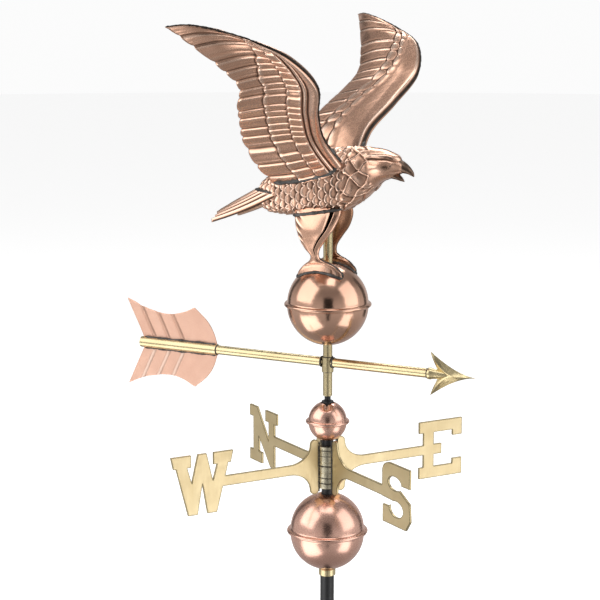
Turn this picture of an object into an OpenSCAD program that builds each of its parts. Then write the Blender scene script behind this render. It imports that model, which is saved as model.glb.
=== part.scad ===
// Eagle weather vane: a copper eagle and an arrow on a brass tube that turns freely on a
// fixed rod. Below it stand four cardinal letters between copper balls.
// Origin: centre of the rod's foot. +Z runs up the rod, and +X is where the arrow points at rest.

/* [Rod] */
// Diameter of the rod below the collar
pole_d = 19.05; // [16:0.05:22]
// Height of the rod's thick length above its foot
pole_h = 203; // [150:1:400]
// Diameter of the rod where it carries the balls and the hub
rod_d = 16; // [14:0.1:18]
// Height of the top of that length
rod_top = 450; // [448:0.5:453]
// Diameter of the spindle that the vane turns on
spindle_d = 8.6; // [7:0.1:9]
// Height of the spindle's top
spindle_top = 620; // [580:1:640]

/* [Balls] */
// Wall of the spun copper balls
ball_wall = 0.8; // [0.6:0.1:1.2]
// Radius of the lower ball
low_ball_r = 50.6; // [46:0.1:52]
// Height of the lower ball's seam
low_ball_z = 267.7; // [266:0.1:268]
// Radius of the small ball
small_ball_r = 26; // [24:0.1:27]
// Height of the small ball's seam
small_ball_z = 421.7; // [421:0.1:423]
// Radius of the ball under the eagle
big_ball_r = 55; // [50:0.5:56]
// Height of that ball's seam
big_ball_z = 583.7; // [580:0.1:590]

/* [Directionals] */
// Height of the hub's foot
hub_z = 329; // [328:0.5:331]
// Height of one hub ring
ring_h = 29.2; // [28:0.1:29.2]
// Outer radius of the hub rings
hub_r = 14.2; // [12:0.1:15]
// Thickness of the arm and letter plates
plate_t = 3; // [2:0.5:4]
// Height of the arms' centre line
arm_z = 359.5; // [358:0.5:361]
// Depth of an arm, top to bottom
arm_h = 14; // [10:1:18]
// Height of the letters
letter_h = 82; // [70:1:90]
// Turn of the east arm from the arrow at rest, in degrees
east_turn = 58; // [0:1:359]

/* [Vane] */
// Outer diameter of the brass tubes
tube_d = 12.7; // [12:0.1:13]
// Wall of the brass tubes
tube_wall = 1.25; // [1:0.05:1.3]
// Height of the upright tube's lower end
tube_foot = 457; // [456:0.5:460]
// Height of the upright tube's upper end, inside the eagle
tube_top = 756; // [750:1:760]
// Height of the arrow's centre line
arrow_z = 503.3; // [500:0.1:506]
// Distance from the axis to the arrow's point
arrow_front = 215.6; // [200:0.1:230]
// Distance from the axis to the tail sleeve's open end
arrow_rear = 297.8; // [280:0.1:310]

/* [Eagle] */
// Thickness of the stamped copper sheet
sheet_t = 0.8; // [0.6:0.1:1.2]
// Hollow between a wing's two skins at its thickest
wing_camber = 3.2; // [1:0.1:6]
// Half width of the eagle's body
body_w = 31; // [28:0.5:34]

/* [Hidden] */

$fn = 64;
COPPER = "#b8734a";
BRASS = "#c9b26a";
STEEL = "#2b2b2d";

fit = 0.05;                              // radial clearance of a running or sliding fit
gap = 0.02;                              // radial gap of a pressed or soldered fit
tube_bore = tube_d / 2 - tube_wall;
pole_socket = 35;                        // depth of the rod's tenon in the pole
spindle_seat = 30;                       // depth of the spindle's end in the rod
collar_r = 11.6;
collar_top = low_ball_z - 4.3 - sqrt(pow(low_ball_r, 2) - pow(rod_d / 2, 2));
bead_r = 2.6;                            // half height of the rolled rim around a ball
thrust_r = 3.8;
bush_l = 14;
cross_h = 20;
cross_r = 8;
spigot_l = 24;
sleeve_r = 7.75;
sleeve_l = 124.5;
screw_r = 2;

// ---------- curves and sheets ----------

// Point at t (0 to 1) on a smooth curve through the points p
function curve(p, t) =
    let(n = len(p) - 1, s = min(n - 0.00001, max(0, t) * n), i = floor(s), f = s - i)
    let(a = p[max(i - 1, 0)], b = p[i], c = p[i + 1], d = p[min(i + 2, n)])
    0.5 * (2 * b + (c - a) * f + (2 * a - 5 * b + 4 * c - d) * pow(f, 2)
        + (3 * b - a - 3 * c + d) * pow(f, 3));

// Points on an ellipse about c with half axes r, from angle a0 to a1 in n steps
function arc(c, r, a0, a1, n) =
    [for (k = [0:n]) let(a = a0 + (a1 - a0) * k / n) [c.x + r.x * cos(a), c.y + r.y * sin(a)]];

// Two triangles for cell i, j of a grid n points wide whose first point has index k
function cell(i, j, n, k) =
    let(a = k + i * n + j, b = a + 1, c = a + n, d = c + 1) [[a, d, c], [a, b, d]];

// A strip of wall between the outer point list a and the inner point list b
function rim(a, b) =
    [for (i = [0:len(a) - 2]) each [[a[i], b[i], b[i + 1]], [a[i], b[i + 1], a[i + 1]]]];

// A closed sheet between two grids of points, the first one on the side of rows x columns
module sheet(top, bottom) {
    m = len(top);
    n = len(top[0]);
    low = m * n;
    points = [each [for (row = top) each row], each [for (row = bottom) each row]];
    upper = [for (i = [0:m - 2], j = [0:n - 2]) each cell(i, j, n, 0)];
    under = [for (i = [0:m - 2], j = [0:n - 2]) each [for (t = cell(i, j, n, low)) [t[0], t[2], t[1]]]];
    start = [for (j = [0:n - 1]) j];
    end = [for (j = [n - 1:-1:0]) (m - 1) * n + j];
    side = [for (i = [m - 1:-1:0]) i * n];
    far = [for (i = [0:m - 1]) i * n + n - 1];
    loop = [start, end, side, far];
    edges = [for (l = loop) each rim(l, [for (k = l) k + low])];
    polyhedron(points, [each upper, each under, each edges], convexity = 8);
}

// ---------- turned and spun parts ----------

module ring(r_out, r_in, z0, z1) {
    translate([0, 0, z0])
        difference() {
            cylinder(r = r_out, h = z1 - z0);
            translate([0, 0, -1]) cylinder(r = r_in, h = z1 - z0 + 2);
        }
}

// A tube along +X from x0 to x1
module level_tube(r_out, r_in, x0, x1) {
    translate([x0, 0, arrow_z]) rotate([0, 90, 0]) ring(r_out, r_in, 0, x1 - x0);
}

// Half of a spun ball, seam down at z = 0, with a straight band and a hole for the rod
module half_ball(r, band, hole) {
    rotate_extrude($fn = 96)
        difference() {
            union() {
                translate([0, band]) circle(r = r);
                square([r, band]);
            }
            translate([0, band]) circle(r = r - ball_wall);
            square([r - ball_wall, band]);
            translate([-2 * r, -2 * r]) square([2 * r, 5 * r]);
            translate([-1, -2 * r]) square([3 * r, 2 * r]);
            translate([-1, 0]) square([hole + 1, 3 * r]);
        }
}

// Flat flange of the half that is held in the rolled rim
module flange(r, r_rim) {
    ring(r_rim - 1.2, r - ball_wall, -ball_wall, 0);
}

// Rolled rim of the other half, which wraps round the flange
module rolled_rim(r, r_rim) {
    rotate_extrude($fn = 96)
        difference() {
            union() {
                translate([r_rim - bead_r, -ball_wall / 2]) circle(r = bead_r);
                translate([r - ball_wall, -ball_wall / 2])
                    square([r_rim - bead_r - r + ball_wall, bead_r]);
            }
            translate([0, -ball_wall]) square([r_rim - 1.2, ball_wall]);
            translate([0, -ball_wall - 2 * bead_r]) square([r, 2 * bead_r + ball_wall]);
        }
}

module ball_top(r, r_rim, z, band, hole) {
    translate([0, 0, z]) {
        half_ball(r, band, hole);
        rolled_rim(r, r_rim);
    }
}

module ball_bottom(r, r_rim, z, band, hole) {
    translate([0, 0, z]) {
        translate([0, 0, -ball_wall]) mirror([0, 0, 1]) half_ball(r, band, hole);
        flange(r, r_rim);
    }
}

// ---------- rod ----------

module pole() {
    color(STEEL)
        difference() {
            cylinder(d = pole_d, h = pole_h);
            translate([0, 0, pole_h - pole_socket]) cylinder(d = rod_d, h = pole_socket + 1);
        }
}

module upper_rod() {
    color(STEEL)
        difference() {
            translate([0, 0, pole_h - pole_socket])
                cylinder(r = rod_d / 2 - gap, h = rod_top - pole_h + pole_socket);
            translate([0, 0, rod_top - spindle_seat]) cylinder(d = spindle_d, h = spindle_seat + 1);
        }
}

module spindle() {
    color(STEEL)
        difference() {
            translate([0, 0, rod_top - spindle_seat])
                cylinder(r = spindle_d / 2 - gap, h = spindle_top - rod_top + spindle_seat);
            translate([0, 0, spindle_top + thrust_r - 1]) sphere(r = thrust_r);
        }
}

module thrust_ball() {
    color("silver") translate([0, 0, spindle_top + thrust_r - 1 + gap]) sphere(r = thrust_r);
}

module rod_collar() {
    color(BRASS)
        difference() {
            translate([0, 0, pole_h])
                rotate_extrude()
                    union() {
                        square([collar_r - 2, collar_top - pole_h]);
                        translate([0, 2]) square([collar_r, collar_top - pole_h - 4]);
                        for (z = [2, collar_top - pole_h - 2]) translate([collar_r - 2, z]) circle(r = 2);
                    }
            translate([0, 0, pole_h - 1]) cylinder(d = rod_d, h = 20);
            translate([0, 0, (pole_h + collar_top) / 2]) rotate([0, 90, 80]) cylinder(r = screw_r, h = 20);
        }
}

// A headless screw that points to the axis, its outer end at radius r
module grub_screw(r, l) {
    translate([r - l, 0, 0])
        rotate([0, 90, 0])
            difference() {
                cylinder(r = screw_r - gap, h = l);
                translate([0, 0, l - 1.5]) cylinder(r = 1, h = 2, $fn = 6);
            }
}

module collar_screw() {
    color("silver") translate([0, 0, (pole_h + collar_top) / 2]) rotate(80) grub_screw(collar_r - 0.2, 3);
}

module lower_ball_bottom() {
    color(COPPER) ball_bottom(low_ball_r, low_ball_r + 4.9, low_ball_z, 3.2, rod_d / 2 + 0.6);
}

module lower_ball_top() {
    color(COPPER) ball_top(low_ball_r, low_ball_r + 4.9, low_ball_z, 2, rod_d / 2 + 0.6);
}

module small_ball_bottom() {
    color(COPPER) ball_bottom(small_ball_r, small_ball_r + 3.8, small_ball_z, 1, rod_d / 2 + 0.6);
}

module small_ball_top() {
    color(COPPER) ball_top(small_ball_r, small_ball_r + 3.8, small_ball_z, 1.4, rod_d / 2 + 1.4);
}

// ---------- hub and cardinal letters ----------

// Turns that point the four arms, and the side that their screws sit on
north_turn = east_turn + 90;
west_turn = east_turn + 180;
south_turn = east_turn - 90;
screw_turn = east_turn + 45;

// One ring of the hub, with a groove at a quarter and three quarters of its height
module hub_ring(z) {
    difference() {
        ring(hub_r, rod_d / 2 + fit, z, z + ring_h);
        for (k = [0.25, 0.75])
            translate([0, 0, z + k * ring_h])
                rotate_extrude() translate([hub_r, 0]) circle(r = 0.7);
        translate([0, 0, z + ring_h / 2]) rotate([0, 90, screw_turn]) cylinder(r = screw_r, h = 20);
    }
}

module hub_ring_lower() {
    color(BRASS) hub_ring(hub_z);
}

module hub_ring_upper() {
    color(BRASS) hub_ring(hub_z + ring_h);
}

module hub_screws() {
    color("silver")
        for (k = [0.5, 1.5])
            translate([0, 0, hub_z + k * ring_h]) rotate(screw_turn) grub_screw(hub_r - 0.4, 5);
}

foot_h = 38.3;                           // half height of the arm's foot on the hub
foot_w = 13;                             // width of the foot's rounded ends
flare_l = 32;                            // length of the concave flare between foot and arm
inner_r = hub_r + 0.05;

// Outline of an arm from the hub to x = reach; its foot touches the upper or the lower ring only
module arm_outline(reach, on_upper) {
    end = inner_r + foot_w;
    bulb_z = foot_h - foot_w / 2;
    flare = arc([end + flare_l, bulb_z], [flare_l, bulb_z - arm_h / 2], 180, 270, 12);
    bulb = arc([inner_r + foot_w / 2, bulb_z], [foot_w / 2, foot_w / 2], 180, 0, 12);
    upper = concat(bulb, flare, [[reach, arm_h / 2]]);
    lower = [for (k = [len(upper) - 1:-1:0]) [upper[k].x, -upper[k].y]];
    relief_z = hub_z + ring_h - arm_z;
    difference() {
        polygon(concat(upper, lower));
        translate([inner_r - 1, on_upper ? relief_z - 50 : relief_z]) square([2, 50]);
    }
}

function fit_letter(p, x, w) = [for (q = p) [x + q.x * w, (q.y - 0.5) * letter_h]];

module letter_e(x, w) {
    bar = 0.2;
    polygon(fit_letter([
        [0, 0], [1, 0], [1, 0.29], [0.78, 0.29], [0.78, bar], [0.34, bar], [0.34, 0.41],
        [0.52, 0.41], [0.52, 0.59], [0.34, 0.59], [0.34, 1 - bar], [0.78, 1 - bar],
        [0.78, 0.7], [1, 0.7], [1, 1], [0, 1], [0, 1 - bar], [0.1, 1 - bar], [0.1, bar], [0, bar],
    ], x, w));
}

module letter_w(x, w) {
    half = [
        [0.27, 0], [0.08, 0.8], [0.04, 0.8], [0, 1], [0.32, 1], [0.32, 0.8],
        [0.26, 0.8], [0.33, 0.53], [0.43, 1],
    ];
    mirrored = [for (k = [len(half) - 1:-1:0]) [1 - half[k].x, half[k].y]];
    polygon(fit_letter(concat(half, mirrored, [[0.58, 0], [0.5, 0.51], [0.42, 0]]), x, w));
}

module letter_n(x, w) {
    polygon(fit_letter([
        [0, 1], [0.27, 1], [0.7, 0.45], [0.7, 0.8], [0.58, 0.8], [0.58, 1], [1, 1], [1, 0.8],
        [0.9, 0.8], [0.9, 0], [0.76, 0], [0.33, 0.48], [0.33, 0.2], [0.45, 0.2], [0.45, 0],
        [0, 0], [0, 0.2], [0.13, 0.2], [0.13, 0.8], [0, 0.8],
    ], x, w));
}

module letter_s(x, w) {
    upper_eye = arc([0.45, 0.687], [0.24, 0.113], -50, -360, 24);
    lower_eye = arc([0.51, 0.28], [0.245, 0.13], 115, -195, 24);
    corner = arc([0.27, 0.83], [0.27, 0.17], 90, 180, 8);
    polygon(fit_letter(concat(
        [[0.03, 0], [0.85, 0], [1, 0.165], [0.97, 0.45], [0.66, 0.58]], upper_eye,
        [[0.73, 0.69], [0.97, 0.69], [0.97, 1]], corner, [[0, 0.41]], lower_eye,
        [[0.22, 0.285], [0.03, 0.285]]
    ), x, w));
}

// Stands outlines up as one plate along the direction turn
module plate(turn) {
    color(BRASS)
        translate([0, 0, arm_z])
            rotate([90, 0, turn])
                for (k = [0:$children - 1]) linear_extrude(plate_t, center = true) children(k);
}

module arm_north() {
    plate(north_turn) {
        arm_outline(152, true);
        translate([220, 0]) mirror([1, 0]) letter_n(0, 80);
    }
}

module arm_east() {
    plate(east_turn) {
        arm_outline(160, false);
        letter_e(149, 72);
    }
}

module arm_south() {
    plate(south_turn) {
        arm_outline(150, true);
        letter_s(142, 67);
    }
}

module arm_west() {
    plate(west_turn) {
        arm_outline(162, false);
        letter_w(146, 92);
    }
}

// ---------- turning tube and arrow ----------

module vane_tube() {
    color(BRASS) ring(tube_d / 2, tube_bore, tube_foot, tube_top);
}

// Bearing plug above the thrust ball, with a cup for it
module tube_plug() {
    z = spindle_top + 2 * thrust_r - 1;
    color(BRASS)
        difference() {
            translate([0, 0, z - 2]) cylinder(r = tube_bore - gap, h = 14);
            translate([0, 0, z - thrust_r]) sphere(r = thrust_r + 0.1);
        }
}

module lower_bush() {
    color("ivory") ring(tube_bore - gap, spindle_d / 2 + fit - gap, tube_foot + 1, tube_foot + 1 + bush_l);
}

module upper_bush() {
    color("ivory")
        ring(tube_bore - gap, spindle_d / 2 + fit - gap, spindle_top - 6 - bush_l, spindle_top - 6);
}

// Cross fitting that joins the upright tube and the arrow's two shafts
module arrow_cross() {
    color(BRASS)
        difference() {
            union() {
                translate([0, 0, arrow_z - 3 - cross_h / 2]) cylinder(r = cross_r, h = cross_h);
                translate([-spigot_l, 0, arrow_z])
                    rotate([0, 90, 0]) cylinder(r = tube_bore - gap, h = 2 * spigot_l);
            }
            translate([0, 0, arrow_z - 40]) cylinder(r = tube_d / 2 + gap, h = 80);
        }
}

module arrow_shaft_front() {
    color(BRASS) level_tube(tube_d / 2, tube_bore, cross_r + 0.1, 153);
}

module arrow_shaft_rear() {
    color(BRASS) level_tube(tube_d / 2, tube_bore, -arrow_rear + 30, -cross_r - 0.1);
}

head_span = 28.7;                        // from the arrow's centre line to a barb
head_rear = 153;                         // where the barbs end
head_ridge = 3.2;                        // half thickness at the ridge

// Point on one face of the arrowhead; u runs from the rear edge to the point, v across it
function head_point(u, v, side) =
    let(rear = head_rear + 13.5 * (1 - abs(v)))
    let(x = rear + (arrow_front - rear) * u)
    let(span = head_span * pow((arrow_front - x) / (arrow_front - head_rear), 1.65) + 0.4)
    let(half = head_ridge * (1 - abs(v)) * (1 - 0.6 * u) + 0.4)
    [x, side * half, arrow_z + v * span];

module arrowhead() {
    u = [for (i = [0:10]) i / 10];
    v = [for (j = [-5:5]) j / 5];
    color(BRASS) {
        sheet([for (a = u) [for (b = v) head_point(a, b, -1)]],
              [for (a = u) [for (b = v) head_point(a, b, 1)]]);
        translate([head_rear + 0.1, 0, arrow_z])
            rotate([0, 90, 0]) cylinder(r1 = cross_r, r2 = 1.2, h = 30);
        translate([head_rear - 15, 0, arrow_z])
            rotate([0, 90, 0]) cylinder(r = tube_bore - gap, h = 20);
    }
}

module fletch_sleeve() {
    color(BRASS) level_tube(sleeve_r, tube_d / 2 + gap, -arrow_rear, -arrow_rear + sleeve_l);
}

// Outline of one tail vane above the sleeve: two swept tips with a shallow dip between them
module fletch_outline() {
    top = [for (t = [0:0.1:1]) curve([[-321, 62], [-285, 48.5], [-252, 44], [-230, 48], [-210, 56.5]], t)];
    front = [for (t = [0.1:0.1:0.95]) curve([[-210, 56.5], [-190, 40.5], [-179, 24], [-173.5, 8]], t)];
    polygon(concat([[-294, sleeve_r + 0.1]], top, front, [[-173.5, sleeve_r + 0.1]]));
}

module fletch_plate() {
    color(COPPER) translate([0, 0, arrow_z]) rotate([90, 0, 0]) linear_extrude(2, center = true) children();
}

module fletch_upper() {
    fletch_plate() fletch_outline();
}

module fletch_lower() {
    fletch_plate() mirror([0, 1]) fletch_outline();
}

module big_ball_bottom() {
    color(COPPER) ball_bottom(big_ball_r, big_ball_r + 4, big_ball_z, 0.4, tube_d / 2 + 0.3);
}

module big_ball_top() {
    color(COPPER) ball_top(big_ball_r, big_ball_r + 4, big_ball_z, 0.4, tube_d / 2 + 0.3);
}

// ---------- eagle ----------

// Heights of the body's back and belly, and its half width, along x from the rump to the beak
body_back = [
    [-107, 732], [-91, 748], [-66, 763], [-35, 777], [-5, 789], [20, 794],
    [49, 796], [70, 796], [86, 794], [100, 787.5], [112, 778], [125, 766],
];
body_belly = [
    [-107, 724], [-91, 708], [-66, 704], [-35, 705], [-5, 709], [20, 712],
    [42, 722], [62, 738], [80, 754], [96, 760], [112, 759], [125, 762.5],
];
body_half = [2, 14, 24, 29.5, body_w, body_w, 27, 22.5, 20, 16.5, 8.5, 1.2];

// Point on the left half of the body: u along it, angle a from the back (0) to the belly (180)
function body_point(u, a, inset) =
    let(back = curve(body_back, u), belly = curve(body_belly, u), half = curve(body_half, u))
    let(mid = (back + belly) / 2, tall = max((back.y - belly.y) / 2 - inset, 0.4))
    let(lean = (back.x - belly.x) / 2)
    [mid.x + lean * cos(a), max(half - inset, 0.2) * sin(a), mid.y + tall * cos(a)];

module body_half_shell() {
    rows = [for (i = [0:30]) i / 30];
    turns = [for (j = [0:12]) 15 * j];
    color(COPPER)
        difference() {
            sheet([for (u = rows) [for (a = turns) body_point(u, a, 0)]],
                  [for (u = rows) [for (a = turns) body_point(u, a, sheet_t)]]);
            translate([0, 0, big_ball_z]) cylinder(r = tube_d / 2 + gap, h = 160);
        }
}

module eagle_body_left() {
    body_half_shell();
}

module eagle_body_right() {
    mirror([0, 1, 0]) body_half_shell();
}

// Wing outline: leading edge to the wrist, outer edge to the tip, trailing edge and root
wing_lead = [
    [32, 27, 779], [28, 68, 814], [44, 113, 849], [61, 149, 887], [41, 189, 924], [-4, 212, 946],
];
wing_outer = [[-4, 212, 946], [-26, 222, 953], [-46, 231, 958.5], [-68, 245, 962], [-87, 264, 960]];
wing_trail = [
    [-71, 24, 746], [-79, 56, 773], [-81, 87, 807], [-70, 117, 835], [-55, 149, 859],
    [-41, 168, 883], [-50, 196, 908], [-68, 231, 935], [-87, 264, 960],
];
wing_root = [[32, 27, 779], [20, 30.5, 765], [0, 32, 758], [-30, 30.5, 751], [-71, 24, 746]];

// Point on the wing between its two skins; u from root to tip, v from leading to trailing edge
function wing_mid(u, v) =
    let(lead = curve(wing_lead, u), trail = curve(wing_trail, u))
    let(root = curve(wing_root, v), outer = curve(wing_outer, v))
    (1 - v) * lead + v * trail + (1 - u) * root + u * outer
        - (1 - u) * (1 - v) * wing_lead[0] - (1 - u) * v * wing_trail[0]
        - u * (1 - v) * wing_outer[0] - u * v * wing_outer[4];

// The wing's cupped shape, as a lift of its middle towards the eagle's back
function wing_cup(u, v) = 9 * sin(180 * v) * sqrt(max(0, sin(180 * u)));

function unit(a) = a / norm(a);

// Point at the given distance from the wing's middle surface, positive on the back side
function wing_point(u, v, off) =
    let(e = 0.01, uu = min(max(u, e), 1 - e), vv = min(max(v, e), 1 - e))
    let(du = wing_mid(uu + e, vv) - wing_mid(uu - e, vv), dv = wing_mid(uu, vv + e) - wing_mid(uu, vv - e))
    wing_mid(u, v) + unit(cross(du, dv)) * (wing_cup(u, v) + off);

// Distance of a skin from the middle surface: zero at the soldered edges
function wing_gap(u, v) =
    let(across = sin(180 * pow(v, 0.6)), along = sin(180 * min(1, u + 0.15)))
    wing_camber * sqrt(max(0, across * along)) + 0.02;

wing_u = [for (i = [0:16]) i / 16];
wing_v = [for (j = [0:12]) j / 12];

module wing_back() {
    color(COPPER)
        sheet([for (u = wing_u) [for (v = wing_v) wing_point(u, v, wing_gap(u, v) + sheet_t)]],
              [for (u = wing_u) [for (v = wing_v) wing_point(u, v, wing_gap(u, v))]]);
}

module wing_front() {
    color(COPPER)
        sheet([for (u = wing_u) [for (v = wing_v) wing_point(u, v, -wing_gap(u, v))]],
              [for (u = wing_u) [for (v = wing_v) wing_point(u, v, -wing_gap(u, v) - sheet_t)]]);
}

module wing_left_back() {
    wing_back();
}

module wing_left_front() {
    wing_front();
}

module wing_right_back() {
    mirror([0, 1, 0]) wing_back();
}

module wing_right_front() {
    mirror([0, 1, 0]) wing_front();
}

// Point on the tail fan, which wraps the rump; u from the root to the tips, v across it
function tail_point(u, v, off) =
    let(root = [-107 + 45 * pow(v, 2), 24 * v, 731])
    let(tip = [-164 + 2 * abs(v), 34.5 * v, 700 - 12 * pow(v, 2)])
    let(hollow = 1.2 * (1 - pow(v, 2)) * sin(180 * min(0.5, 1 - u)))
    (1 - u) * root + u * tip + [0, 0, off + sign(off) * hollow - 3 * sin(180 * u) * pow(v, 2)];

tail_u = [for (i = [0:8]) i / 8];
tail_v = [for (j = [-6:6]) j / 6];

module tail_upper() {
    color(COPPER)
        sheet([for (u = tail_u) [for (v = tail_v) tail_point(u, -v, sheet_t + 0.01)]],
              [for (u = tail_u) [for (v = tail_v) tail_point(u, -v, 0.01)]]);
}

module tail_lower() {
    color(COPPER)
        sheet([for (u = tail_u) [for (v = tail_v) tail_point(u, -v, -0.01)]],
              [for (u = tail_u) [for (v = tail_v) tail_point(u, -v, -sheet_t - 0.01)]]);
}

// Leg and foot: rings from the thigh down to the ball. Each is centre x, centre y, height, half
// length and half width; the foot's rings follow the ball, and their height is the lift above it
leg_rings = [
    [-7, 25, 713, 34.5, 9], [-5.5, 25, 701, 33, 9.5], [-7.5, 25, 687, 27.5, 9],
    [-10, 25.3, 673, 19, 7.5], [-10.2, 25.7, 661, 11.2, 5.8], [-6.5, 26, 652, 6.2, 4.8],
    [-6, 25.5, 13, 8.7, 4.6], [-3, 23, 11, 24, 4.2], [-1.5, 21, 6.5, 32.5, 7.2], [-1.5, 20.5, 0, 33, 8.5],
];
sole_gap = 0.4;

function ball_height(x, y) = big_ball_z + sqrt(pow(big_ball_r + sole_gap, 2) - x * x - y * y);

// Point of ring r at angle a (0 in front, 90 outside), drawn in by the sheet thickness
function ring_point(r, a, inset) =
    let(x = r[0] + (r[3] - inset) * cos(a), y = r[1] + (r[4] - inset) * sin(a))
    [x, y, r[2] > 100 ? r[2] : ball_height(x, y) + r[2]];

function leg_point(u, a, inset) = curve([for (r = leg_rings) ring_point(r, a, inset)], u);

// The line where the leg's two halves part runs down the front of the thigh; its angle by row
leg_part = [[0, 36], [0.22, 42], [0.44, 60], [0.56, 58], [0.67, 30], [0.78, 4], [1, 1]];
leg_slit = [[0, 14], [0.22, 9], [0.56, 7], [0.78, 3], [1, 3]];

// Half of the leg, from its front line to the back
module leg_shell(a1, slit) {
    rows = [for (i = [0:18]) i / 18];
    steps = [for (j = [0:8]) j / 8];
    function start(u) = lookup(u, leg_part) + slit * lookup(u, leg_slit);
    function row(u, inset) = [for (s = steps) leg_point(u, start(u) + (a1 - start(u)) * s, inset)];
    function grid(inset) = [for (u = rows) row(u, inset)];
    color(COPPER) sheet(grid(0), grid(sheet_t));
}

module leg_outer() {
    leg_shell(179, 1);
}

module leg_inner() {
    leg_shell(-179, 0);
}

module leg_left_outer() {
    leg_outer();
}

module leg_left_inner() {
    leg_inner();
}

module leg_right_outer() {
    mirror([0, 1, 0]) leg_outer();
}

module leg_right_inner() {
    mirror([0, 1, 0]) leg_inner();
}

pole();
upper_rod();
spindle();
thrust_ball();
rod_collar();
collar_screw();
lower_ball_bottom();
lower_ball_top();
hub_ring_lower();
hub_ring_upper();
hub_screws();
arm_north();
arm_east();
arm_south();
arm_west();
small_ball_bottom();
small_ball_top();
vane_tube();
tube_plug();
lower_bush();
upper_bush();
arrow_cross();
arrow_shaft_front();
arrow_shaft_rear();
arrowhead();
fletch_sleeve();
fletch_upper();
fletch_lower();
big_ball_bottom();
big_ball_top();
eagle_body_left();
eagle_body_right();
wing_left_back();
wing_left_front();
wing_right_back();
wing_right_front();
tail_upper();
tail_lower();
leg_left_outer();
leg_left_inner();
leg_right_outer();
leg_right_inner();
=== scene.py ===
"""A copper eagle weather vane on a black rod, dressed around its CAD frame.

Lengths are in millimetres until a mesh is made, and the frame's axes are used throughout:
+Z runs up the rod, and +X is where the arrow points at rest.
"""

import math

import bmesh
import bpy
import numpy as np
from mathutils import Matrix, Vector

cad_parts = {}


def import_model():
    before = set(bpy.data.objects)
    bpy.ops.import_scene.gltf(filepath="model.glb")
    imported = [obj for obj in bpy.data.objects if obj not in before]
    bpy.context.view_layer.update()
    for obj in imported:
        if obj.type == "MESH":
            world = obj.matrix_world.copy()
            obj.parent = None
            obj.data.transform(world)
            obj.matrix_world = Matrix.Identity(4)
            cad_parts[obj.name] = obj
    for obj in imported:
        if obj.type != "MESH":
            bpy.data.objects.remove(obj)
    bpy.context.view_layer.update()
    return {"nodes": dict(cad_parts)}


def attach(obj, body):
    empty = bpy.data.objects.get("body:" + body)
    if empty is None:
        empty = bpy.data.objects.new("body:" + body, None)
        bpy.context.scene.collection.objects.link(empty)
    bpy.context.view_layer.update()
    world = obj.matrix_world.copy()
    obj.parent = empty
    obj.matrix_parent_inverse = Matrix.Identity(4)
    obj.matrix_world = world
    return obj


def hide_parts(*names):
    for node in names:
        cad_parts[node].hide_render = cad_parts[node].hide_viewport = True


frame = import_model()

MM = 0.001
MAST, VANE = "mast", "vane"
SHEET = 0.8                      # thickness of the stamped and spun copper sheet


# ---------- small helpers on numbers ----------

def blend_four(around, f):
    """Smooth curve (Catmull-Rom) between the middle two of four points, at f from 0 to 1."""
    a, b, c, d = around
    return 0.5 * (2 * b + (c - a) * f + (2 * a - 5 * b + 4 * c - d) * f ** 2
                  + (3 * b - a - 3 * c + d) * f ** 3)


def curve(points, t):
    """Points at t (0 to 1) on a smooth curve through the given points."""
    p = np.asarray(points, float)
    n = len(p) - 1
    s = np.clip(t, 0, 1) * n
    i = np.minimum(s.astype(int), n - 1)
    return blend_four([p[np.clip(i + k, 0, n)] for k in (-1, 0, 1, 2)], (s - i)[..., None])


def ease(x):
    """0 below 0, 1 above 1, smooth between."""
    x = np.clip(x, 0, 1)
    return x * x * (3 - 2 * x)


def hump(x, width):
    """1 at x = 0, falling smoothly away on both sides."""
    return np.exp(-(x / width) ** 2)


def table(x, pairs):
    """Straight-line reading of (x, y) pairs."""
    return np.interp(x, [p[0] for p in pairs], [p[1] for p in pairs])


def share(x):
    """Part of x after the point, 0 to 1."""
    return x - np.floor(x)


def wobble(a, b, seed):
    """A slow, repeatable unevenness between about -1 and 1."""
    return (np.sin(1.7 * a + 2.3 * b + seed) + np.sin(3.1 * a - 1.9 * b + 2.7 * seed)
            + 0.6 * np.sin(5.3 * a + 4.1 * b + 5.1 * seed)) / 2.6


def grid(rows, columns, low=0.0):
    """Two grids of numbers: u runs 0 to 1 down the rows, v runs low to 1 along them."""
    return np.meshgrid(np.linspace(0, 1, rows), np.linspace(low, 1, columns), indexing="ij")


def round_grid(rows, columns):
    """As grid, but the second number is an angle that goes once round."""
    return np.meshgrid(np.linspace(0, 1, rows), np.arange(columns) / columns * 2 * np.pi, indexing="ij")


def unit(v):
    return v / np.maximum(np.linalg.norm(v, axis=-1, keepdims=True), 1e-9)


def blurred(h, size, rounds=3):
    """h averaged over a window of the given size, a few times over."""
    for _ in range(rounds):
        for axis in (0, 1):
            pad = [(size, size) if k == axis else (0, 0) for k in (0, 1)]
            total = np.cumsum(np.pad(h, pad, mode="edge"), axis=axis)
            total = np.insert(total, 0, 0, axis=axis)
            n = h.shape[axis]
            high = np.take(total, range(2 * size + 1, 2 * size + 1 + n), axis=axis)
            h = (high - np.take(total, range(n), axis=axis)) / (2 * size + 1)
    return h


def painted_shade_and_highlight(h, size, depth):
    """(crevice, ridge): how far each point lies below and above what is round it, the masks for painted
    shade in hollows and a painted highlight on ridges.
    """
    d = (blurred(h, size) - h) / depth
    return np.clip(d, 0, 1), np.clip(-d, 0, 1)


def marks(crevices, ridges):
    """What a mesh holds at its points, from the grids of its faces in turn."""
    return {"crevice": np.concatenate(crevices, axis=None), "ridge": np.concatenate(ridges, axis=None)}


# ---------- meshes ----------

def quads(m, n, first=0, around=False):
    """Faces of a grid of m rows by n points; around joins the last point to the first."""
    i, j = np.meshgrid(np.arange(m - 1), np.arange(n if around else n - 1), indexing="ij")
    k = (j + 1) % n
    a, b = first + i * n + j, first + i * n + k
    return np.stack([a, b, b + n, a + n], -1).reshape(-1, 4)


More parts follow.
